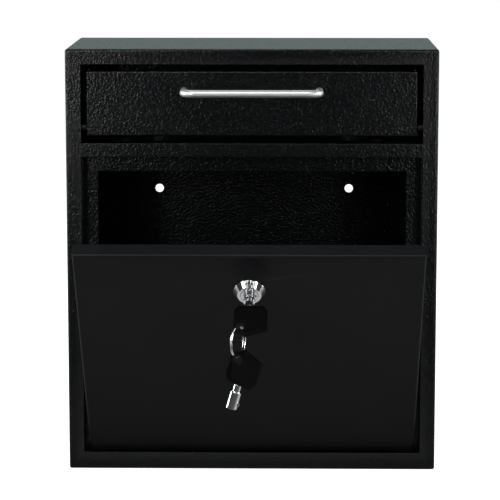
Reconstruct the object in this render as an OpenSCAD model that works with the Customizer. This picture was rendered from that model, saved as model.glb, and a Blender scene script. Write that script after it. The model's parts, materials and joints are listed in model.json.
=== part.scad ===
// Wall drop box: a steel housing with a gravity-closing deposit hopper above and a
// lockable pull-down door below, shown open with its two keys on a split ring.
// Millimetres. +Z is up, the front faces -Y, and the origin is the centre of the four
// wall holes on the rear face.

/* [Housing] */
// Outside width
box_w = 266; // [240:1:300]
// Outside height
box_h = 306; // [300:1:330]
// Outside depth
box_d = 120; // [110:1:160]
// Thickness of the housing's steel sheet
sheet = 1.5; // [1.2:0.1:2]
// Outside radius of the housing's bends
bend_r = 2.2; // [1.6:0.1:3]
// Width of the front face beside the openings
side_band = 11; // [9:0.5:14]
// Height of the front face below the lower opening
bottom_band = 12.5; // [12:0.5:14]
// Top of the lower opening, above the base
lower_opening_top = 228.8; // [226:0.1:230]
// Height of the rail between the two openings
rail_h = 9.9; // [8:0.1:10]
// Top of the hopper's opening, above the base
upper_opening_top = 295.1; // [294:0.1:297]

/* [Wall fixing] */
// Distance between the wall holes across
wall_hole_dx = 145; // [120:1:180]
// Distance between the wall holes up and down
wall_hole_dz = 125; // [80:1:125]
// Diameter of each wall hole
wall_hole_d = 6.4; // [5:0.1:8]
// Height of the lower wall holes above the base
wall_hole_low = 66; // [50:1:70]

/* [Door] */
// Angle that the door stands open, on its check lip
door_open = 38; // [20:1:38]
// Width of the door
door_w = 236; // [230:1:238]
// Height of the hinge line above the base
door_hinge_z = 20.5; // [20.5:0.1:21]
// Top edge of the door above its hinge line
door_rise = 203.5; // [200:0.5:205]
// Height of the lock above the hinge line
lock_rise = 170.2; // [165:0.1:176]

/* [Hopper] */
// Width of the hopper's flap
flap_w = 236; // [230:1:238]
// Height of the flap's hinge line above the base
flap_hinge_z = 249.5; // [249:0.1:250]
// Top edge of the flap above its hinge line
flap_rise = 40.8; // [38:0.1:41]
// Angle that the flap opens
flap_open = 45; // [30:1:45]
// Distance between the legs of the pull handle
handle_pitch = 96; // [64:1:128]
// How far the pull handle stands out from the flap
handle_reach = 25; // [20:1:32]
// Thickness of the handle's rod
handle_rod = 5.4; // [4:0.1:7]

/* [Lock and keys] */
// Diameter of the lock's chrome head
bezel_d = 22; // [20:0.5:24]
// How far the lock's head stands out
bezel_h = 5.5; // [4:0.5:7]
// Width of a key's plastic head
key_head_w = 22.6; // [20:0.1:24]
// Length of a key's plastic head to its point
key_head_l = 24.3; // [23:0.1:26]
// Outside diameter of the split ring
ring_d = 22; // [22:0.5:26]
// Direction that the split ring hangs in, from the box's width
ring_turn = 66; // [60:1:70]
// Angle from upright at which the loose key balances
spare_tilt = 17.1; // [10:0.1:22]

/* [Hidden] */
$fn = 48;

// Housing, measured from the base and the rear face
base_z = -(wall_hole_low + wall_hole_dz / 2);
front_y = -box_d;
opening_w = box_w - 2 * side_band;
rail_top = lower_opening_top + rail_h;
rail_depth = 20;
rim = 8;
baffle_y = -64;
baffle_low = 262;
baffle_half_w = 128;
baffle_flange = 14;
baffle_lip = 6;
rail_tab = 8;

// Frame that the door closes against
stop_depth = 11.4;
stop_reach = 11;
stop_top = 217.2;
stop_bottom = 24;
stop_floor = 11;
check_lip_z = 18.5;
check_lip_out = 2.2;
check_lip_w = 214;

// Shared hinge sizes
pin_d = 5;
pin_clearance = 0.05;
hinge_set_back = 6;
ear_t = 2;

// Door
door_drop = 6;
door_flange = 10.8;
door_foot = 8;
door_foot_w = 212;
door_ear_x = 113.5;
door_ear_r = 4;
door_pin_in = 112.3;
bezel_face_d = 16;
bezel_rim_h = 1.2;
barrel_d = 18.8;
barrel_flat = 16;
barrel_l = 13.8;
plug_d = 12;
index_w = 1.1;
index_floor = 3.6;
keyway_l = 7.5;
cam_l = 31;
cam_t = 2;
cam_w = 15;

// Hopper
flap_t = 1.2;
flap_drop = 5.5;
flap_flange = 8;
tray_slope = 20;
tray_l = 41.5;
cheek_r = 42;
cheek_stop_r = 47.5;
cheek_stop_angle = flap_open - 5;
cheek_in = flap_w / 2 - 2 * flap_t;
hopper_ear_x = 123;
hopper_ear_r = 7;
hopper_ear_top = 15;
hopper_pin_out = 127;
flap_edge_r = 1.4;
handle_bend = 8;
screw_d = 3.3;
bumper_h = 2.4;
handle_z = 276.2;

// Keys: a key's own frame has +Z along its shank towards the head's point
key_gap = 15.8;
key_head_t = 4.2;
head_point = 5.2;
key_rim = 1.4;
key_recess = 0.6;
key_head_side = 1.2;
key_tang_d = 2.4;
key_tang_l = 8;
key_neck_d = 5.5;
key_neck_l = 5;
key_barrel_d = 8;
key_barrel_l = 12;
key_bore_d = 6.1;
key_hole = [-5.6, 16.2];
key_hole_d = 6.8;
key_hole_chamfer = 1;
ring_wire = 1.3;
ring_w = 1.7;
ring_r = ring_d / 2 - ring_wire / 2;
web = [-7.1, 20.5];
web_drop = 3.3;
spare_drop = 1.95;

// The place, in the box's frame, of a point given in the lock's frame
function lock_point(p) = let (y = -hinge_set_back - p.z, z = lock_rise + p.y)
    [p.x, front_y + hinge_set_back + y * cos(door_open) - z * sin(door_open),
     door_hinge_z + y * sin(door_open) + z * cos(door_open)];
ring_centre = lock_point([web.x, 0, key_gap + web.y]) - [0, 0, ring_r - web_drop];

module from_base() translate([0, 0, base_z]) children();
module on_hopper() from_base() translate([0, front_y + hinge_set_back, flap_hinge_z]) children();
module on_door() from_base() translate([0, front_y + hinge_set_back, door_hinge_z])
    rotate([door_open, 0, 0]) children();
module on_lock() on_door() translate([0, -hinge_set_back, lock_rise]) rotate([90, 0, 0]) children();
module on_key() on_lock() translate([0, 0, key_gap]) children();
module on_ring() from_base() translate(ring_centre) rotate([0, 0, ring_turn]) children();
module on_spare_key() on_ring() translate([0, 0, -ring_r]) rotate([0, 0, -90])
    rotate([0, spare_tilt, 0]) translate([-key_hole.x, 0, -key_hole.y - spare_drop]) children();

// A block from its least corner to its greatest
module block(low, high) translate(low) cube(high - low);

// What a bend takes off a sharp edge along Z whose corner points to +X +Y
module edge_cut(r, l) translate([-r, -r, 0]) difference() {
    cube([r + 1, r + 1, l]);
    translate([0, 0, -1]) cylinder(r = r, h = l + 2);
}

// A rod along X
module rod(d, x0, x1) translate([x0, 0, 0]) rotate([0, 90, 0]) cylinder(d = d, h = x1 - x0);

module round_rect(w, h, r) union() {
    square([w - 2 * r, h], center = true);
    square([w, h - 2 * r], center = true);
    for (x = [-1, 1], y = [-1, 1]) translate([x * (w / 2 - r), y * (h / 2 - r)]) circle(r);
}

// ---- Housing ----

// Top, sides, floor and front face, folded from one sheet
module housing_shell() color("#1b1c1d") from_base() difference() {
    translate([0, 0, box_h / 2]) rotate([90, 0, 0]) linear_extrude(box_d)
        round_rect(box_w, box_h, bend_r);
    block([-box_w / 2 + sheet, front_y + sheet, sheet], [box_w / 2 - sheet, 1, box_h - sheet]);
    block([-opening_w / 2, front_y - 1, bottom_band], [opening_w / 2, front_y + 3, upper_opening_top]);
    for (side = [-1, 1]) translate([side * box_w / 2, front_y, -1])
        rotate([0, 0, side > 0 ? -90 : 180]) edge_cut(bend_r, box_h + 2);
    for (edge = [[box_h, 0], [0, 1]]) translate([-box_w / 2 - 1, front_y, edge[0]]) rotate([90, 0, 90])
        mirror([1, 0, 0]) mirror([0, edge[1], 0]) edge_cut(bend_r, box_w + 2);
}

// Rear wall with a folded rim and the four wall holes
module back_panel() color("#1b1c1d") from_base() difference() {
    block([-box_w / 2 + sheet, -rim, sheet], [box_w / 2 - sheet, 0, box_h - sheet]);
    block([-box_w / 2 + 2 * sheet, -rim - 1, 2 * sheet],
        [box_w / 2 - 2 * sheet, -sheet, box_h - 2 * sheet]);
    for (x = [-1, 1], z = [0, 1])
        translate([x * wall_hole_dx / 2, 1, wall_hole_low + z * wall_hole_dz])
            rotate([90, 0, 0]) cylinder(d = wall_hole_d, h = sheet + 2);
}

// Cross rail between the openings, with a shelf behind it and a tab at each end
module mid_rail() color("#1b1c1d") from_base() {
    block([-opening_w / 2, front_y, lower_opening_top], [opening_w / 2, front_y + sheet, rail_top]);
    block([-opening_w / 2, front_y + sheet, rail_top - sheet],
        [opening_w / 2, front_y + rail_depth, rail_top]);
    for (side = [-1, 1])
        translate([side * (opening_w / 2 + 2), front_y + 1.5 * sheet, rail_top - rail_tab / 2])
        cube([rail_tab, sheet, rail_tab], center = true);
}

// Rebated frame behind the lower opening: the closed door rests on its flange
module door_stop_frame() color("#1b1c1d") from_base() {
    difference() {
        block([-opening_w / 2 - sheet, front_y + sheet, stop_floor - sheet],
            [opening_w / 2 + sheet, front_y + stop_depth + sheet, lower_opening_top + sheet]);
        block([-opening_w / 2, front_y, stop_floor],
            [opening_w / 2, front_y + stop_depth, lower_opening_top]);
        block([-opening_w / 2 + stop_reach, front_y, stop_bottom],
            [opening_w / 2 - stop_reach, front_y + stop_depth + 9, stop_top]);
        for (side = [-1, 1])
            translate([side * (door_ear_x + ear_t / 2), front_y + stop_depth, door_hinge_z])
            cube([ear_t + 0.2, 9, 12.2], center = true);
    }
    block([-check_lip_w / 2, front_y + stop_depth - check_lip_out, check_lip_z],
        [check_lip_w / 2, front_y + stop_depth, check_lip_z + sheet]);
}

// Plate hung behind the hopper that keeps a hand or hook away from the contents
module fishing_baffle() color("#202123") from_base() {
    block([-baffle_half_w, baffle_y, baffle_low], [baffle_half_w, baffle_y + sheet, box_h - sheet]);
    block([-baffle_half_w, baffle_y + sheet, box_h - 2 * sheet],
        [baffle_half_w, baffle_y + baffle_flange, box_h - sheet]);
    block([-baffle_half_w, baffle_y + sheet, baffle_low],
        [baffle_half_w, baffle_y + baffle_lip, baffle_low + sheet]);
}

// Ear for a hopper pin, welded behind the front face
module hopper_bracket(side) color("#26272a") from_base() mirror([side < 0 ? 1 : 0, 0, 0]) {
    ear_y = front_y + hinge_set_back;
    difference() {
        union() {
            block([hopper_ear_x, front_y + sheet, flap_hinge_z - hopper_ear_r],
                [hopper_ear_x + ear_t, ear_y, flap_hinge_z + hopper_ear_top]);
            translate([0, ear_y, flap_hinge_z]) rod(2 * hopper_ear_r, hopper_ear_x, hopper_ear_x + ear_t);
        }
        block([0, front_y - 5, 0], [box_w, front_y + sheet, box_h]);
        translate([0, ear_y, flap_hinge_z]) rod(pin_d + 2 * pin_clearance, hopper_ear_x - 1, box_w / 2);
    }
    block([hopper_ear_x + ear_t, front_y + sheet, flap_hinge_z + 5.5],
        [box_w / 2 - sheet, front_y + 2 * sheet, flap_hinge_z + hopper_ear_top]);
}
module hopper_bracket_left() hopper_bracket(-1);
module hopper_bracket_right() hopper_bracket(1);

// Ear for a door pin, which comes forward through a slot in the stop frame
module door_bracket(side) color("#26272a") from_base() mirror([side < 0 ? 1 : 0, 0, 0]) {
    foot_y = front_y + stop_depth + sheet;
    translate([door_ear_x, front_y + hinge_set_back, door_hinge_z]) difference() {
        union() {
            rod(2 * door_ear_r, 0, ear_t);
            block([0, 0, -door_ear_r], [ear_t, foot_y + sheet - front_y - hinge_set_back, door_ear_r]);
        }
        rod(pin_d + 2 * pin_clearance, -1, ear_t + 1);
    }
    block([door_ear_x + ear_t, foot_y, door_hinge_z - 6],
        [opening_w / 2 + 2, foot_y + sheet, door_hinge_z + 9]);
}
module door_bracket_left() door_bracket(-1);
module door_bracket_right() door_bracket(1);

// Two rubber buttons on the rail's shelf that the closed hopper's tray comes down on
module hopper_bumpers() color("#101010") for (side = [-1, 1])
    on_hopper() translate([side * 90, 9.5, rail_top - flap_hinge_z]) cylinder(d = 8, h = bumper_h);

// ---- Hopper ----

// Flap: a shallow pan
module hopper_panel() color("#1b1c1d") on_hopper() difference() {
    block([-flap_w / 2, -hinge_set_back, -flap_drop],
        [flap_w / 2, flap_flange - hinge_set_back, flap_rise]);
    block([-flap_w / 2 + flap_t, -hinge_set_back + flap_t, -flap_drop + flap_t],
        [flap_w / 2 - flap_t, flap_flange, flap_rise - flap_t]);
    for (side = [-1, 1]) {
        translate([side * flap_w / 2, -hinge_set_back, -20]) rotate([0, 0, side > 0 ? -90 : 180])
            edge_cut(flap_edge_r, 80);
        rod(pin_d, side * flap_w / 2 - 3, side * flap_w / 2 + 3);
        translate([side * handle_pitch / 2, -1, handle_z - flap_hinge_z]) rotate([90, 0, 0])
            cylinder(d = 4.4, h = 8);
    }
    for (edge = [[flap_rise, 0], [-flap_drop, 1]]) translate([-flap_w / 2 - 1, -hinge_set_back, edge[0]])
        rotate([90, 0, 90]) mirror([1, 0, 0]) mirror([0, edge[1], 0]) edge_cut(flap_edge_r, flap_w + 2);
}

// Sloping floor of the hopper
module hopper_tray() color("#232426") on_hopper() {
    block([-cheek_in, flap_t - hinge_set_back, flap_t - flap_drop], [cheek_in, 3, 2 * flap_t - flap_drop]);
    translate([0, 3, flap_t - flap_drop]) rotate([-tray_slope, 0, 0])
        block([-cheek_in, -0.2, 0], [cheek_in, tray_l, flap_t]);
}

// Side of the hopper, with a step that meets the front face when the flap is open
module hopper_cheek(side) color("#232426") on_hopper() mirror([side < 0 ? 1 : 0, 0, 0]) difference() {
    translate([cheek_in, 0, 0]) rotate([90, 0, 90]) linear_extrude(flap_t) polygon(concat(
        [[flap_t - hinge_set_back, flap_t - flap_drop], [flap_t - hinge_set_back, flap_rise - 2.2],
         [flap_flange - hinge_set_back + 0.5, flap_rise - 2.2]],
        [for (a = [4:4:cheek_stop_angle]) cheek_r * [sin(a), cos(a)]],
        [for (a = [cheek_stop_angle:4:104]) cheek_stop_r * [sin(a), cos(a)]],
        [[3 + tray_l * cos(tray_slope), flap_t - flap_drop - tray_l * sin(tray_slope)],
         [3, flap_t - flap_drop]]));
    rod(pin_d, 0, flap_w);
}
module hopper_cheek_left() hopper_cheek(-1);
module hopper_cheek_right() hopper_cheek(1);

module hopper_pin(side) color("#26272a") on_hopper() mirror([side < 0 ? 1 : 0, 0, 0]) difference() {
    union() {
        rod(pin_d, cheek_in, hopper_pin_out);
        rod(6, cheek_in - 1.4, cheek_in);
    }
    difference() {
        rod(pin_d + 2, 125.4, 126.2);
        rod(pin_d - 1.2, 125, 127);
    }
}
module hopper_pin_left() hopper_pin(-1);
module hopper_pin_right() hopper_pin(1);

// Open clip in the groove at each hopper pin's end
module pin_clips() color("#8d9094") for (side = [-1, 1])
    on_hopper() mirror([side < 0 ? 1 : 0, 0, 0]) difference() {
        rod(8.4, 125.4, 126.2);
        rod(pin_d - 1.2, 125, 127);
        block([125, -1.6, -6], [127, 1.6, 0]);
    }

// Bow handle: a straight rod, two bends and two legs
module pull_handle() color("#d6d8da") on_hopper()
    translate([0, -hinge_set_back, handle_z - flap_hinge_z]) {
        reach = handle_reach - handle_rod / 2;
        half = handle_pitch / 2;
        translate([0, -reach, 0]) rod(handle_rod, -half + handle_bend, half - handle_bend);
        for (side = [-1, 1]) mirror([side < 0 ? 1 : 0, 0, 0]) {
            translate([half - handle_bend, -reach + handle_bend, 0]) rotate([0, 0, -90])
                rotate_extrude(angle = 90) translate([handle_bend, 0]) circle(d = handle_rod);
            difference() {
                translate([half, -reach + handle_bend, 0]) rotate([-90, 0, 0])
                    cylinder(d = handle_rod, h = reach - handle_bend);
                translate([half, -10, 0]) rotate([-90, 0, 0]) cylinder(d = screw_d, h = 11);
            }
        }
    }

// Screws that hold the handle from inside the flap
module handle_screws() color("#9a9da1") for (side = [-1, 1])
    on_hopper() translate([side * handle_pitch / 2, -hinge_set_back + flap_t, handle_z - flap_hinge_z])
        rotate([90, 0, 0]) difference() {
            union() {
                cylinder(d = screw_d, h = 9);
                translate([0, 0, -2.2]) cylinder(d = 7, h = 2.2);
            }
            for (turn = [0, 90]) rotate(turn) translate([-2, -0.4, -3]) cube([4, 0.8, 2]);
        }

// ---- Door ----

// Door pan, with hinge ends rounded about the hinge line
module door_panel() color("#26272b") on_door() difference() {
    face_y = -hinge_set_back;
    rear_y = door_flange - hinge_set_back;
    union() {
        block([-door_w / 2, face_y, -door_drop], [door_w / 2, face_y + sheet, door_rise]);
        block([-door_w / 2, face_y, door_rise - sheet], [door_w / 2, rear_y, door_rise]);
        block([-door_foot_w / 2, face_y, -door_drop],
            [door_foot_w / 2, face_y + door_foot, -door_drop + sheet]);
        for (side = [-1, 1]) mirror([side < 0 ? 1 : 0, 0, 0]) {
            block([door_w / 2 - sheet, face_y, 0], [door_w / 2, rear_y, door_rise]);
            rod(2 * rear_y, door_w / 2 - sheet, door_w / 2);
            block([door_w / 2 - sheet, face_y, -rear_y], [door_w / 2, 0, 0]);
        }
    }
    for (side = [-1, 1]) {
        translate([side * door_w / 2, face_y, -20]) rotate([0, 0, side > 0 ? -90 : 180])
            edge_cut(bend_r, 250);
        rod(pin_d, side * door_w / 2 - 3, side * door_w / 2 + 3);
    }
    for (edge = [[door_rise, 0], [-door_drop, 1]]) translate([-door_w / 2 - 1, face_y, edge[0]])
        rotate([90, 0, 90]) mirror([1, 0, 0]) mirror([0, edge[1], 0]) edge_cut(bend_r, door_w + 2);
    translate([0, 0, lock_rise]) lock_hole(face_y, face_y + 4);
}

// Flatted hole for the lock
module lock_hole(y0, y1) intersection() {
    translate([0, y1, 0]) rotate([90, 0, 0]) cylinder(d = barrel_d + 0.2, h = y1 - y0 + 1);
    block([-barrel_flat / 2 - 0.1, y0 - 2, -20], [barrel_flat / 2 + 0.1, y1 + 1, 20]);
}

// Stiffening plate welded behind the door's face around the lock
module lock_backing_plate() color("#26272b") on_door() difference() {
    y0 = -hinge_set_back + sheet;
    block([-40, y0, lock_rise - 22], [40, y0 + sheet, lock_rise + 22]);
    translate([0, 0, lock_rise]) lock_hole(y0, y0 + 4);
}

module door_pin(side) color("#26272a") on_door() mirror([side < 0 ? 1 : 0, 0, 0]) {
    rod(pin_d, door_pin_in, door_w / 2);
    rod(8, door_w / 2, door_w / 2 + 1.2);
}
module door_pin_left() door_pin(-1);
module door_pin_right() door_pin(1);

// Threaded lock body with flats and a conical chrome head, slotted at its top as an index
module lock_barrel() color("#cfd2d6") on_lock() difference() {
    union() {
        intersection() {
            translate([0, 0, -barrel_l]) cylinder(d = barrel_d, h = barrel_l);
            block([-barrel_flat / 2, -20, -barrel_l - 1], [barrel_flat / 2, 20, 1]);
        }
        cylinder(d = bezel_d, h = bezel_rim_h);
        translate([0, 0, bezel_rim_h])
            cylinder(d1 = bezel_d, d2 = bezel_face_d, h = bezel_h - bezel_rim_h);
    }
    translate([0, 0, -barrel_l - 1]) cylinder(d = plug_d, h = barrel_l + bezel_h + 2);
    block([-index_w / 2, 0, index_floor], [index_w / 2, bezel_d, bezel_h + 1]);
}

module lock_washer() color("#8d9094") on_lock() translate([0, 0, -2 * sheet - 1]) difference() {
    cylinder(d = 25, h = 1);
    translate([0, 0, -1]) cylinder(d = barrel_d, h = 3);
}

module lock_nut() color("#a8abae") on_lock() translate([0, 0, -2 * sheet - 5]) difference() {
    cylinder(d = 26, h = 4, $fn = 6);
    translate([0, 0, -1]) cylinder(d = barrel_d, h = 6);
}

// ---- Turning part of the lock ----

// Plug with the ring-shaped keyway, its centre post, a square tail and a tapped end
module lock_plug() color("#c4c7cb") on_lock() difference() {
    union() {
        translate([0, 0, -barrel_l + 0.1])
            cylinder(d = plug_d - 2 * pin_clearance, h = barrel_l + bezel_h - 0.1);
        block([-3.5, -3.5, -barrel_l - cam_t], [3.5, 3.5, -barrel_l + 1]);
    }
    translate([0, 0, bezel_h - keyway_l]) difference() {
        cylinder(d = key_barrel_d + 0.2, h = 8);
        cylinder(d = key_bore_d - 0.2, h = 8);
    }
    block([0, -0.9, bezel_h - keyway_l], [5.2, 0.9, bezel_h + 1]);
    translate([0, 0, -barrel_l - cam_t - 1]) cylinder(d = 4, h = 8);
}

// Flat cam that swings behind the stop frame's top flange
module lock_cam() color("#9da1a5") on_lock() translate([0, 0, -barrel_l - cam_t]) difference() {
    union() {
        cylinder(d = cam_w, h = cam_t);
        block([-cam_l + cam_w / 2, -cam_w / 2, 0], [0, cam_w / 2, cam_t]);
        translate([-cam_l + cam_w / 2, 0, 0]) cylinder(d = cam_w, h = cam_t);
    }
    block([-3.5, -3.5, -1], [3.5, 3.5, cam_t + 1]);
}

module cam_washer() color("#8d9094") on_lock() translate([0, 0, -barrel_l - cam_t - 1]) difference() {
    cylinder(d = 11, h = 1);
    translate([0, 0, -1]) cylinder(d = 4, h = 3);
}

module cam_screw() color("#a8abae") on_lock() translate([0, 0, -barrel_l - cam_t - 1]) difference() {
    union() {
        translate([0, 0, -2.6]) cylinder(d = 8, h = 2.6);
        cylinder(d = 4, h = 6.5);
    }
    for (turn = [0, 90]) rotate(turn) translate([-2.2, -0.5, -3]) cube([4.4, 1, 1.6]);
}

// ---- Keys and ring ----

// Outline of a key's head, from the shank's end at the origin up to its point, a little off to one side
function head_outline(inset) = let (w = key_head_w / 2 - inset, l = key_head_l - inset)
    [for (p = [[-w + 2.8, inset], [-w, 4.5], [-w, l - head_point], [-3.5, l], [w, l - head_point],
               [w, 4.5], [w - 2.8, inset]]) p + [key_head_side, 0]];

module head_plate(t, inset) translate([0, t / 2, 0]) rotate([90, 0, 0]) linear_extrude(t)
    polygon(head_outline(inset));

// Plastic head: a plate with a raised rim, a ring hole and a socket for the shank
module key_grip() difference() {
    head_plate(key_head_t, 0);
    for (face = [-1, 1]) translate([0, face * key_head_t / 2, 0])
        head_plate(2 * key_recess, key_rim);
    translate([key_hole.x, 0, key_hole.y]) rotate([90, 0, 0]) {
        cylinder(d = key_hole_d, h = key_head_t + 2, center = true);
        for (face = [0, 1]) mirror([0, 0, face])
            translate([0, 0, key_head_t / 2 - key_recess - key_hole_chamfer])
            cylinder(d1 = key_hole_d, d2 = key_hole_d + 4 * key_hole_chamfer, h = 2 * key_hole_chamfer);
    }
    translate([0, 0, -1]) cylinder(d = key_tang_d, h = key_tang_l + 1);
}

// Steel shank: a hollow barrel with a locating nub, a neck, and a tang in the head
module key_shank() difference() {
    union() {
        cylinder(d = key_tang_d, h = key_tang_l);
        translate([0, 0, -key_neck_l]) cylinder(d = key_neck_d, h = key_neck_l);
        translate([0, 0, -key_neck_l - key_barrel_l]) cylinder(d = key_barrel_d, h = key_barrel_l);
        block([0, -0.7, -key_neck_l - key_barrel_l + 2.5],
            [key_barrel_d / 2 + 0.9, 0.7, -key_neck_l - key_barrel_l + 5]);
    }
    translate([0, 0, -key_neck_l - key_barrel_l - 1]) cylinder(d = key_bore_d, h = key_barrel_l - 1);
}

module key_head() color("#1e1f21") on_key() key_grip();
module key_barrel() color("#cfd2d6") on_key() key_shank();
module spare_key_head() color("#1e1f21") on_spare_key() key_grip();
module spare_key_barrel() color("#cfd2d6") on_spare_key() key_shank();

// Split ring, as the closed band that its two turns fill
module key_ring() color("#cfd2d6") on_ring() rotate([90, 0, 0]) rotate_extrude()
    translate([ring_r, 0]) round_rect(ring_wire, ring_w, 0.4);

housing_shell();
back_panel();
mid_rail();
door_stop_frame();
fishing_baffle();
hopper_bracket_left();
hopper_bracket_right();
door_bracket_left();
door_bracket_right();
hopper_bumpers();
hopper_panel();
hopper_tray();
hopper_cheek_left();
hopper_cheek_right();
hopper_pin_left();
hopper_pin_right();
pin_clips();
pull_handle();
handle_screws();
door_panel();
lock_backing_plate();
door_pin_left();
door_pin_right();
lock_barrel();
lock_washer();
lock_nut();
lock_plug();
lock_cam();
cam_washer();
cam_screw();
key_head();
key_barrel();
key_ring();
spare_key_head();
spare_key_barrel();
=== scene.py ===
"""Looks of the drop box: bevelled sheet metal, lock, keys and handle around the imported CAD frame.

Lengths on the object are millimetres, and meshes are made in metres. Materials, the stage, the lights and the
camera are in metres throughout.
"""

import json
import math

import bmesh
import bpy
from mathutils import Matrix, Vector


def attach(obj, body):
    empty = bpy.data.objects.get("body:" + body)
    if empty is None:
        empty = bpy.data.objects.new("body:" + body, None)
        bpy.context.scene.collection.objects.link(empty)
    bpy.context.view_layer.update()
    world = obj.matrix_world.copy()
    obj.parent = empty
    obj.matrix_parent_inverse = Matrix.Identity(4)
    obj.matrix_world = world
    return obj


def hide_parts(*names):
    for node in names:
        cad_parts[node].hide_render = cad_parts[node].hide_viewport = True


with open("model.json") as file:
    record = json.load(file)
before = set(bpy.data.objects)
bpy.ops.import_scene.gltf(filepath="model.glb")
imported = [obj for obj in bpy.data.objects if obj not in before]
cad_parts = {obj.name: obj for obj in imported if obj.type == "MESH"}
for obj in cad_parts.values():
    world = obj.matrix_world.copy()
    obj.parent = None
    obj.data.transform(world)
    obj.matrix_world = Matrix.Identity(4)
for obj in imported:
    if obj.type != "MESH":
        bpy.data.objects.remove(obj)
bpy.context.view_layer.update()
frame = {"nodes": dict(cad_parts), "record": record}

MM = 0.001

# Sizes shared with the CAD source
BASE_Z = -128.5
FRONT_Y = -120.0
HINGE_SET_BACK = 6.0
DOOR_OPEN = math.radians(38)
DOOR_HINGE_Z = 20.5
LOCK_RISE = 170.2
FLAP_HINGE_Z = 249.5
HANDLE_Z = 276.2
HANDLE_PITCH = 96.0
HANDLE_REACH = 25.0
HANDLE_ROD = 5.4
HANDLE_BEND = 8.0
BEZEL_R = 11.0
BEZEL_H = 5.5
BARREL_R = 9.4
BARREL_FLAT = 8.0
BARREL_L = 13.8
PLUG_R = 6.0
CONE_TOP = (8.35, 5.0)
CONE_FOOT = (10.55, 1.75)
KEY_GAP = 15.8
WEB = (-7.1, 20.5)
WEB_DROP = 3.3
RING_R = 10.35
RING_TURN = math.radians(66)
RING_WIRE = 1.3
RING_W = 1.7

# Sizes that only the visible pieces have
INDEX_W = 1.4
INDEX_FLOOR = 0.9
BORE_GAP = 0.02
THREAD_PITCH = 0.75
THREAD_DEPTH = 0.45
TURN_GAP = 0.02
TURN_SPREAD = 0.9
TURN_START = math.radians(140)


def shift(x, y, z):
    return Matrix.Translation((x, y, z))


def turn(angle, axis):
    return Matrix.Rotation(angle, 4, axis)


HOPPER = shift(0, FRONT_Y + HINGE_SET_BACK, BASE_Z + FLAP_HINGE_Z)
DOOR = shift(0, FRONT_Y + HINGE_SET_BACK, BASE_Z + DOOR_HINGE_Z) @ turn(DOOR_OPEN, "X")
LOCK = DOOR @ shift(0, -HINGE_SET_BACK, LOCK_RISE) @ turn(math.pi / 2, "X")
KEY = LOCK @ shift(0, 0, KEY_GAP)
WEB_POINT = KEY @ Vector((WEB[0], 0, WEB[1]))
RING = Matrix.Translation(WEB_POINT - Vector((0, 0, RING_R - WEB_DROP))) @ turn(RING_TURN, "Z")


# ---- Materials ----

class Nodes:
    """A material's node tree, with short ways to add what the finishes below share."""

    def __init__(self, name):
        self.material = bpy.data.materials.new(name)
        self.material.use_nodes = True
        self.tree = self.material.node_tree
        self.shader = self.tree.nodes["Principled BSDF"]
        self.place = self.add("ShaderNodeTexCoord").outputs["Object"]

    def add(self, kind, **settings):
        node = self.tree.nodes.new(kind)
        for key, value in settings.items():
            if hasattr(node, key):
                setattr(node, key, value)
            else:
                node.inputs[key.replace("_", " ")].default_value = value
        return node

    def join(self, out, into):
        self.tree.links.new(out, into)

    def stretched(self, scale):
        node = self.add("ShaderNodeMapping")
        node.inputs["Scale"].default_value = scale
        self.join(self.place, node.inputs["Vector"])
        return node.outputs["Vector"]

    def noise(self, scale, detail=2.0, roughness=0.5, along=None, distortion=0.0):
        node = self.add("ShaderNodeTexNoise", Scale=scale, Detail=detail, Roughness=roughness,
                        Distortion=distortion)
        self.join(self.place if along is None else self.stretched(along), node.inputs["Vector"])
        return node.outputs["Fac"]

    def span(self, value, low, high, to_low, to_high):
        """The value with one range of numbers stretched onto another."""
        node = self.add("ShaderNodeMapRange")
        for key, number in zip(("From Min", "From Max", "To Min", "To Max"), (low, high, to_low, to_high)):
            node.inputs[key].default_value = number
        self.join(value, node.inputs["Value"])
        return node.outputs["Result"]

    def blend(self, share, dark, light):
        """From one colour to the other as the share goes from 0 to 1."""
        node = self.add("ShaderNodeMix", data_type="RGBA")
        node.inputs[6].default_value = (*dark, 1)
        node.inputs[7].default_value = (*light, 1)
        self.join(share, node.inputs[0])
        return node.outputs[2]

    def over(self, share, under, light):
        """A colour laid over what is there already."""
        node = self.add("ShaderNodeMix", data_type="RGBA")
        self.join(under, node.inputs[6])
        node.inputs[7].default_value = (*light, 1)
        self.join(share, node.inputs[0])
        return node.outputs[2]

    def plus(self, a, b):
        return self.combine("ADD", a, b)

    def times(self, a, b):
        return self.combine("MULTIPLY", a, b)

    def combine(self, operation, a, b):
        node = self.add("ShaderNodeMath", operation=operation)
        self.join(a, node.inputs[0])
        if isinstance(b, float):
            node.inputs[1].default_value = b
        else:
            self.join(b, node.inputs[1])
        return node.outputs[0]

    def edges(self, low, high):
        """0 on flat faces, 1 on sharp outer edges; it masks the painted highlight laid along those edges."""
        return self.span(self.add("ShaderNodeNewGeometry").outputs["Pointiness"], low, high, 0, 1)

    def bump(self, height, depth, strength=1.0):
        node = self.add("ShaderNodeBump")
        node.inputs["Strength"].default_value = strength
        node.inputs["Distance"].default_value = depth
        self.join(height, node.inputs["Height"])
        self.join(node.outputs["Normal"], self.shader.inputs["Normal"])

    def finish(self, color=None, roughness=None, **constants):
        if color is not None:
            self.join(color, self.shader.inputs["Base Color"])
        if roughness is not None:
            self.join(roughness, self.shader.inputs["Roughness"])
        for key, value in constants.items():
            self.shader.inputs[key.replace("_", " ")].default_value = value
        return self.material


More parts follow.
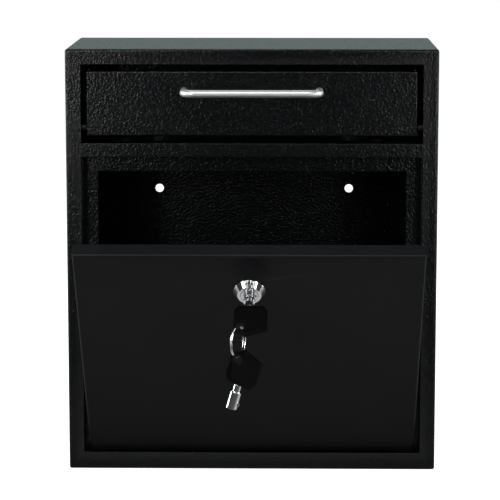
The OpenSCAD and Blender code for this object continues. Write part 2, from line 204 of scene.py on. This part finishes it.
def hammered_paint():
    """Black powder coat with rounded pebbles about a millimetre and a half apart."""
    n = Nodes("hammered_powder_coat")
    pebbles = n.span(n.noise(640, 1.0, 0.5, distortion=0.4), 0.36, 0.74, 0, 1)
    n.bump(n.plus(pebbles, n.times(n.noise(2600, 1.5), 0.06)), 0.00017)
    patches = n.span(n.noise(22, 3), 0.3, 0.7, 0, 1)
    tone = n.blend(patches, (0.0016, 0.0023, 0.0025), (0.0026, 0.0033, 0.0036))
    # Painted highlight: outer edges made lighter, standing in for light caught on the rounded bends.
    tone = n.over(n.edges(0.56, 0.66), tone, (0.010, 0.0103, 0.0106))
    rough = n.span(n.noise(900, 2), 0.3, 0.7, 0.20, 0.26)
    return n.finish(tone, rough, Specular_IOR_Level=0.22)


def satin_paint():
    """Smooth black powder coat with a slight orange peel."""
    n = Nodes("satin_powder_coat")
    peel = n.plus(n.noise(1500, 2.0), n.times(n.noise(260, 1.5), 0.35))
    n.bump(peel, 0.00009, 0.6)
    patches = n.span(n.noise(14, 3), 0.3, 0.7, 0, 1)
    tone = n.blend(patches, (0.0056, 0.0060, 0.0070), (0.0070, 0.0074, 0.0086))
    # Painted highlight: outer edges made lighter, standing in for light caught on the rounded bends.
    tone = n.over(n.edges(0.56, 0.66), tone, (0.012, 0.0122, 0.013))
    rough = n.span(n.noise(60, 3), 0.3, 0.7, 0.33, 0.42)
    return n.finish(tone, rough, Specular_IOR_Level=0.12)


def polished_chrome():
    n = Nodes("bright_chrome")
    tone = n.blend(n.noise(180, 3), (0.80, 0.81, 0.82), (0.88, 0.885, 0.89))
    rough = n.span(n.noise(420, 4, 0.7, along=(1, 1, 0.25)), 0.25, 0.75, 0.05, 0.15)
    n.bump(n.noise(900, 2), 0.00002, 0.35)
    return n.finish(tone, rough, Metallic=1.0)


def satin_chrome():
    """Chrome brushed along X."""
    n = Nodes("satin_chrome")
    tone = n.blend(n.noise(120, 3), (0.74, 0.745, 0.75), (0.83, 0.83, 0.835))
    grain = n.noise(2200, 3, 0.6, along=(0.06, 1, 1))
    rough = n.span(grain, 0.25, 0.75, 0.44, 0.54)
    n.bump(grain, 0.00003, 0.4)
    return n.finish(tone, rough, Metallic=1.0)


def zinc_plate():
    n = Nodes("zinc_plated_steel")
    tone = n.blend(n.span(n.noise(260, 4, 0.6), 0.3, 0.7, 0, 1), (0.46, 0.47, 0.49), (0.62, 0.63, 0.64))
    rough = n.span(n.noise(520, 4, 0.65), 0.3, 0.7, 0.26, 0.46)
    n.bump(n.noise(1300, 3), 0.00004, 0.5)
    return n.finish(tone, rough, Metallic=1.0)


def moulded_plastic():
    n = Nodes("moulded_key_plastic")
    grain = n.noise(2600, 2)
    n.bump(grain, 0.00008, 0.6)
    tone = n.blend(n.noise(150, 3), (0.0016, 0.0017, 0.0020), (0.0026, 0.0027, 0.0030))
    # Painted highlight: outer edges made lighter, standing in for light caught on the rounded rims.
    tone = n.over(n.edges(0.55, 0.65), tone, (0.008, 0.008, 0.009))
    rough = n.span(n.noise(700, 2), 0.3, 0.7, 0.45, 0.60)
    return n.finish(tone, rough, Specular_IOR_Level=0.05)


def rubber():
    n = Nodes("rubber")
    n.bump(n.noise(1900, 3), 0.0001, 0.6)
    tone = n.blend(n.noise(300, 3), (0.003, 0.003, 0.003), (0.006, 0.006, 0.0058))
    return n.finish(tone, n.span(n.noise(800, 2), 0.3, 0.7, 0.68, 0.85), Specular_IOR_Level=0.08)


FINISH = {
    "textured_paint": hammered_paint(),
    "satin_paint": satin_paint(),
    "bright_chrome": polished_chrome(),
    "satin_chrome": satin_chrome(),
    "zinc_steel": zinc_plate(),
    "key_plastic": moulded_plastic(),
    "rubber": rubber(),
}
SLOT = {part["node"]: part["material_slot"] for part in frame["record"]["subparts"]}
BODY = {node: body for body, nodes in frame["record"]["behaviour"]["bodies"].items() for node in nodes}


# ---- Mesh making ----

def piece(bm, name, *nodes):
    """Makes an object of the mesh: it stands for these CAD nodes and takes the first one's body and slot."""
    bmesh.ops.recalc_face_normals(bm, faces=bm.faces)
    mesh = bpy.data.meshes.new(name)
    bm.to_mesh(mesh)
    bm.free()
    for polygon in mesh.polygons:
        polygon.use_smooth = True
    obj = bpy.data.objects.new(name, mesh)
    bpy.context.scene.collection.objects.link(obj)
    mesh.materials.append(FINISH[SLOT[nodes[0]]])
    weighted = obj.modifiers.new("weighted_normals", "WEIGHTED_NORMAL")
    weighted.weight = 60
    weighted.keep_sharp = True
    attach(obj, BODY[nodes[0]])
    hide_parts(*nodes)
    return obj


def node_mesh(node):
    """The CAD node's mesh with its flat faces joined up again."""
    bm = bmesh.new()
    bm.from_mesh(frame["nodes"][node].data)
    bmesh.ops.remove_doubles(bm, verts=bm.verts, dist=0.002 * MM)
    bmesh.ops.dissolve_limit(bm, angle_limit=math.radians(0.5), verts=bm.verts, edges=bm.edges)
    return bm


def soften(bm, width, segments=2, angle=38):
    """Rounds every edge sharper than the angle."""
    edges = [e for e in bm.edges
             if len(e.link_faces) == 2 and e.calc_face_angle(0) > math.radians(angle)]
    bmesh.ops.bevel(bm, geom=edges, offset=width * MM, offset_type="OFFSET", segments=segments,
                    profile=0.5, affect="EDGES", clamp_overlap=True)
    return bm


def softened(node, name, width, segments=2, angle=38):
    return piece(soften(node_mesh(node), width, segments, angle), name, node)


def ring_of(bm, points):
    return [bm.verts.new(p) for p in points]


def skin(bm, rings, closed):
    """Joins successive rings of vertices with quads."""
    count = len(rings[0])
    pairs = list(zip(rings, rings[1:])) + ([(rings[-1], rings[0])] if closed else [])
    for a, b in pairs:
        for i in range(count):
            j = (i + 1) % count
            bm.faces.new((a[i], a[j], b[j], b[i]))


def lathe(profile, matrix, sides, change, extra):
    """A solid turned about the matrix's Z axis from a closed profile of (radius, height).

    Rows of points stand at so many even angles and at the extra ones. The change moves each point.
    """
    bm = bmesh.new()
    rings = []
    for a in sorted([2 * math.pi * k / sides for k in range(sides)] + list(extra)):
        points = [change(Vector((r * math.cos(a), r * math.sin(a), z))) for r, z in profile]
        rings.append(ring_of(bm, [matrix @ p * MM for p in points]))
    skin(bm, rings, True)
    return bm


def arc(centre, radius, start, end, count):
    """Points (x, y) along an arc, in degrees."""
    steps = [math.radians(start + (end - start) * i / (count - 1)) for i in range(count)]
    return [(centre[0] + radius * math.cos(a), centre[1] + radius * math.sin(a)) for a in steps]


def sweep(path, section, matrix, sideways=None):
    """A solid swept along a path with flat ends. The section's (u, v) lie across it, u towards sideways."""
    bm = bmesh.new()
    rings = []
    for i, p in enumerate(path):
        ahead = (path[min(i + 1, len(path) - 1)] - path[max(i - 1, 0)]).normalized()
        u = sideways(p) if sideways else Vector((0, 0, 1))
        u = (u - ahead * u.dot(ahead)).normalized()
        v = ahead.cross(u)
        rings.append(ring_of(bm, [matrix @ (p + u * a + v * b) * MM for a, b in section]))
    skin(bm, rings, False)
    bm.faces.new(rings[0])
    bm.faces.new(rings[-1])
    return bm


def rounded(width, height, radius, count=5):
    """Corner-rounded rectangle's outline."""
    points = []
    for x, y, start in ((1, 1, 0), (-1, 1, 90), (-1, -1, 180), (1, -1, 270)):
        points += arc((x * (width / 2 - radius), y * (height / 2 - radius)), radius, start, start + 90, count)
    return points


# ---- Housing, hopper and door ----

# How far each node's sharp edges are rounded
EDGE_WIDTHS = {
    "housing_shell": 0.35, "back_panel": 0.35, "mid_rail": 0.45, "door_stop_frame": 0.45,
    "fishing_baffle": 0.35, "hopper_bracket_left": 0.3, "hopper_bracket_right": 0.3,
    "door_bracket_left": 0.3, "door_bracket_right": 0.3, "hopper_bumpers": 0.5,
    "hopper_panel": 0.3, "hopper_tray": 0.25, "hopper_cheek_left": 0.25, "hopper_cheek_right": 0.25,
    "hopper_pin_left": 0.25, "hopper_pin_right": 0.25, "pin_clips": 0.12, "handle_screws": 0.2,
    "door_panel": 0.35, "lock_backing_plate": 0.3, "door_pin_left": 0.25, "door_pin_right": 0.25,
    "lock_washer": 0.2, "lock_nut": 0.35, "lock_plug": 0.15, "lock_cam": 0.2, "cam_washer": 0.15,
    "cam_screw": 0.2,
}
for node, width in EDGE_WIDTHS.items():
    softened(node, "soft_" + node, width)


def pull_handle():
    """Round rod bent twice, standing off the flap on two legs."""
    half = HANDLE_PITCH / 2
    reach = HANDLE_REACH - HANDLE_ROD / 2
    left = [(-half, 0), (-half, -reach * 0.4), (-half, -reach + HANDLE_BEND)]
    left += arc((-half + HANDLE_BEND, -reach + HANDLE_BEND), HANDLE_BEND, 180, 270, 16)[1:]
    line = left + [(x, -reach) for x in (-20, 0, 20)] + [(-x, y) for x, y in reversed(left)]
    path = [Vector((x, y, 0)) for x, y in line]
    section = arc((0, 0), HANDLE_ROD / 2, 0, 352.5, 48)
    place = HOPPER @ shift(0, -HINGE_SET_BACK, HANDLE_Z - FLAP_HINGE_Z)
    return piece(sweep(path, section, place), "bow_handle", "pull_handle")


pull_handle()


# ---- Lock ----

def lock_head():
    """Bevelled head with its index slot at the top, on a threaded barrel with two flats."""
    bore = PLUG_R + BORE_GAP
    face = [(bore, 4.9), (PLUG_R + 0.12, 5.22), (PLUG_R + 0.4, 5.42), (PLUG_R + 0.8, BEZEL_H)]
    cone = [(7.55, BEZEL_H), (7.9, 5.44), (8.15, 5.28), CONE_TOP]
    cone += [(CONE_TOP[0] + (CONE_FOOT[0] - CONE_TOP[0]) * t, CONE_TOP[1] + (CONE_FOOT[1] - CONE_TOP[1]) * t)
             for t in (0.2, 0.4, 0.6, 0.8, 1.0)]
    rim = [(10.8, 1.45), (BEZEL_R - 0.03, 1.1), (BEZEL_R, 0.7), (BEZEL_R, 0.25), (BEZEL_R - 0.25, 0.0)]
    thread = [(BARREL_R, -0.2)]
    z = -1.0
    while z > -BARREL_L + 0.8:
        thread += [(BARREL_R, z), (BARREL_R - THREAD_DEPTH, z - 0.25), (BARREL_R, z - 0.5)]
        z -= THREAD_PITCH
    end = [(BARREL_R - 0.6, -BARREL_L), (bore, -BARREL_L)]

    def cut(p):
        """Flattens the barrel's sides and sinks the slot into the head."""
        if p.z < -0.05:
            p.x = max(-BARREL_FLAT, min(BARREL_FLAT, p.x))
        elif abs(p.x) < INDEX_W / 2 and p.y > 0:
            p.z = min(p.z, INDEX_FLOOR)
        return p

    beside, inside = (INDEX_W / 2 + 0.1) / BEZEL_R, (INDEX_W / 2 - 0.1) / BEZEL_R
    slot = [math.pi / 2 + side * a for side in (-1, 1) for a in (beside, inside)]

    profile = face + cone + rim + [(BARREL_R, 0.0)] + thread + end
    return piece(lathe(profile, LOCK, 96, cut, slot), "lock_head", "lock_barrel")


lock_head()


# ---- Keys and split ring ----

for prefix in ("", "spare_"):
    softened(prefix + "key_head", prefix + "moulded_head", 0.55, 3)
    softened(prefix + "key_barrel", prefix + "tubular_shank", 0.2)


def split_ring():
    """Two turns of flat wire side by side, with a step where one passes over to the other.

    The turns stand further apart on the +X and -X sides.
    """
    turn_w = RING_W / 2
    steps = 192
    path = []
    for i in range(steps + 1):
        t = i / steps
        angle = 4 * math.pi * t + TURN_START
        s = max(0.0, min(1.0, (t - 0.46) / 0.08))
        apart = turn_w + TURN_GAP + TURN_SPREAD * max(0.0, math.cos(angle)) ** 2
        off = (s * s * (3 - 2 * s) - 0.5) * apart
        path.append(Vector((RING_R * math.cos(angle), off, RING_R * math.sin(angle))))
    section = rounded(RING_WIRE, turn_w - 0.06, 0.25, 4)
    bm = sweep(path, section, RING, sideways=lambda p: Vector((p.x, 0, p.z)))
    return piece(bm, "two_turn_ring", "key_ring")


split_ring()


# ---- Studio, in metres ----

FLOOR_FRONT = -3.6
WALL_Y = 3.6
WALL_TOP = 6.2
STAGE_SIDE = 7.2
CURVE_R = 1.2


def stage_finish(name, tint, ramp):
    """White to the camera. In what the object reflects, a glow that changes along Y.

    The ramp is (y, level) pairs in rising y, and the tint colours it.
    """
    n = Nodes(name)
    tone = n.blend(n.noise(3, 2), (0.78, 0.78, 0.78), (0.8, 0.8, 0.8))
    n.finish(tone, n.span(n.noise(8, 2), 0, 1, 0.85, 0.95), Specular_IOR_Level=0.0)
    glow = n.add("ShaderNodeEmission", Strength=0.85)
    lit = n.add("ShaderNodeAddShader")
    n.join(n.shader.outputs[0], lit.inputs[0])
    n.join(glow.outputs[0], lit.inputs[1])
    axes = n.add("ShaderNodeSeparateXYZ")
    n.join(n.place, axes.inputs[0])
    level = n.add("ShaderNodeValToRGB")
    stops = level.color_ramp.elements
    y_low, y_high = ramp[0][0], ramp[-1][0]
    while len(stops) < len(ramp):
        stops.new(0.5)
    for stop, (y, value) in zip(stops, ramp):
        stop.position = (y - y_low) / (y_high - y_low)
        stop.color = (*(value * c for c in tint), 1)
    n.join(n.span(axes.outputs["Y"], y_low, y_high, 0, 1), level.inputs[0])
    card = n.add("ShaderNodeEmission")
    n.join(level.outputs[0], card.inputs["Color"])
    mix = n.add("ShaderNodeMixShader")
    n.join(n.add("ShaderNodeLightPath").outputs["Is Camera Ray"], mix.inputs[0])
    n.join(card.outputs[0], mix.inputs[1])
    n.join(lit.outputs[0], mix.inputs[2])
    n.join(mix.outputs[0], n.tree.nodes["Material Output"].inputs["Surface"])
    return n.material


def backdrop():
    """Pale floor that curves up into a wall, which stands beyond the camera of every view."""
    low = BASE_Z * MM
    foot = WALL_Y - CURVE_R
    floor = [(FLOOR_FRONT, low), (foot, low)]
    curve = [math.radians(6 * k) for k in range(16)]
    wall = [(foot + CURVE_R * math.sin(a), low + CURVE_R - CURVE_R * math.cos(a)) for a in curve]
    wall.append((WALL_Y, WALL_TOP))
    cards = (("floor", floor, (1, 1, 1),
              ((-0.6, 0.02), (-0.34, 0.1), (-0.26, 0.55), (-0.2, 0.38), (-0.12, 0.26), (0.4, 0.3))),
             ("wall", wall, (0.83, 1.03, 1.0), ((foot, 0.3), (WALL_Y, 0.37))))
    for name, line, tint, ramp in cards:
        bm = bmesh.new()
        rows = [[bm.verts.new((x, y, z)) for x in (-STAGE_SIDE, STAGE_SIDE)] for y, z in line]
        for a, b in zip(rows, rows[1:]):
            bm.faces.new((a[0], a[1], b[1], b[0]))
        mesh = bpy.data.meshes.new(name)
        bm.to_mesh(mesh)
        bm.free()
        for polygon in mesh.polygons:
            polygon.use_smooth = True
        mesh.materials.append(stage_finish("pale_" + name, tint, ramp))
        obj = bpy.data.objects.new(name, mesh)
        bpy.context.scene.collection.objects.link(obj)


def softbox(name, place, aim, size, power):
    """White area light, size across and up in metres and power in watts."""
    light = bpy.data.lights.new(name, "AREA")
    light.shape = "RECTANGLE"
    light.size, light.size_y = size
    light.energy = power
    obj = bpy.data.objects.new(name, light)
    obj.location = place
    obj.rotation_mode = "QUATERNION"
    obj.rotation_quaternion = (Vector(aim) - Vector(place)).to_track_quat("-Z", "Y")
    bpy.context.scene.collection.objects.link(obj)


backdrop()
softbox("back_top", (0, 1.0, 1.5), (0, 0.1, 0), (1.8, 0.6), 6)
softbox("front_top", (-0.2, -1.4, 1.45), (0, -0.1, 0.05), (1.4, 0.6), 15)
softbox("left_strip", (-0.27, -0.5, 0.18), (-0.09, -0.12, 0.12), (0.05, 0.22), 0.58)
softbox("right_strip", (0.29, -0.5, 0.16), (0.09, -0.12, 0.12), (0.05, 0.24), 0.48)
softbox("left_rim", (-1.2, -0.1, 0.2), (0, -0.12, 0.05), (0.25, 1.2), 14)
softbox("right_rim", (1.2, -0.1, 0.2), (0, -0.12, 0.05), (0.25, 1.2), 11)
softbox("left_glint", (-0.48, -1.26, 0.43), (0, -0.23, 0.03), (0.42, 0.1), 0.22)
softbox("right_glint", (0.48, -1.26, 0.43), (0, -0.23, 0.03), (0.42, 0.1), 0.2)
softbox("left_low", (-0.42, -0.75, -0.07), (0, -0.25, -0.03), (0.4, 0.1), 0.16)
softbox("right_low", (0.42, -0.75, -0.07), (0, -0.25, -0.03), (0.4, 0.1), 0.16)
softbox("low_front", (0, -0.56, -0.115), (0, -0.145, 0.147), (0.16, 0.1), 0.1)

# Sky: white to the camera, nearly black in what the object reflects
world = bpy.data.worlds.new("studio")
world.use_nodes = True
sky = world.node_tree
seen = sky.nodes["Background"]
seen.inputs["Color"].default_value = (1, 1, 1, 1)
dim = sky.nodes.new("ShaderNodeBackground")
dim.inputs["Color"].default_value = (0.035, 0.037, 0.039, 1)
pick = sky.nodes.new("ShaderNodeMixShader")
sky.links.new(sky.nodes.new("ShaderNodeLightPath").outputs["Is Camera Ray"], pick.inputs[0])
sky.links.new(dim.outputs[0], pick.inputs[1])
sky.links.new(seen.outputs[0], pick.inputs[2])
sky.links.new(pick.outputs[0], sky.nodes["World Output"].inputs["Surface"])
bpy.context.scene.world = world
bpy.context.scene.view_settings.view_transform = "Standard"

CAMERA_PITCH = math.radians(9.054)
CAMERA_YAW = math.radians(-0.927)
camera = bpy.data.objects.new("camera", bpy.data.cameras.new("camera"))
camera.data.sensor_width = 36
camera.data.lens = 167.28
camera.location = (0.025405, -1.767763, 0.295985)
ahead = Vector((math.sin(CAMERA_YAW) * math.cos(CAMERA_PITCH), math.cos(CAMERA_YAW) * math.cos(CAMERA_PITCH),
                -math.sin(CAMERA_PITCH)))
camera.rotation_mode = "QUATERNION"
camera.rotation_quaternion = ahead.to_track_quat("-Z", "Y")
camera.data.clip_start, camera.data.clip_end = 0.05, 30
bpy.context.scene.collection.objects.link(camera)
bpy.context.scene.camera = camera
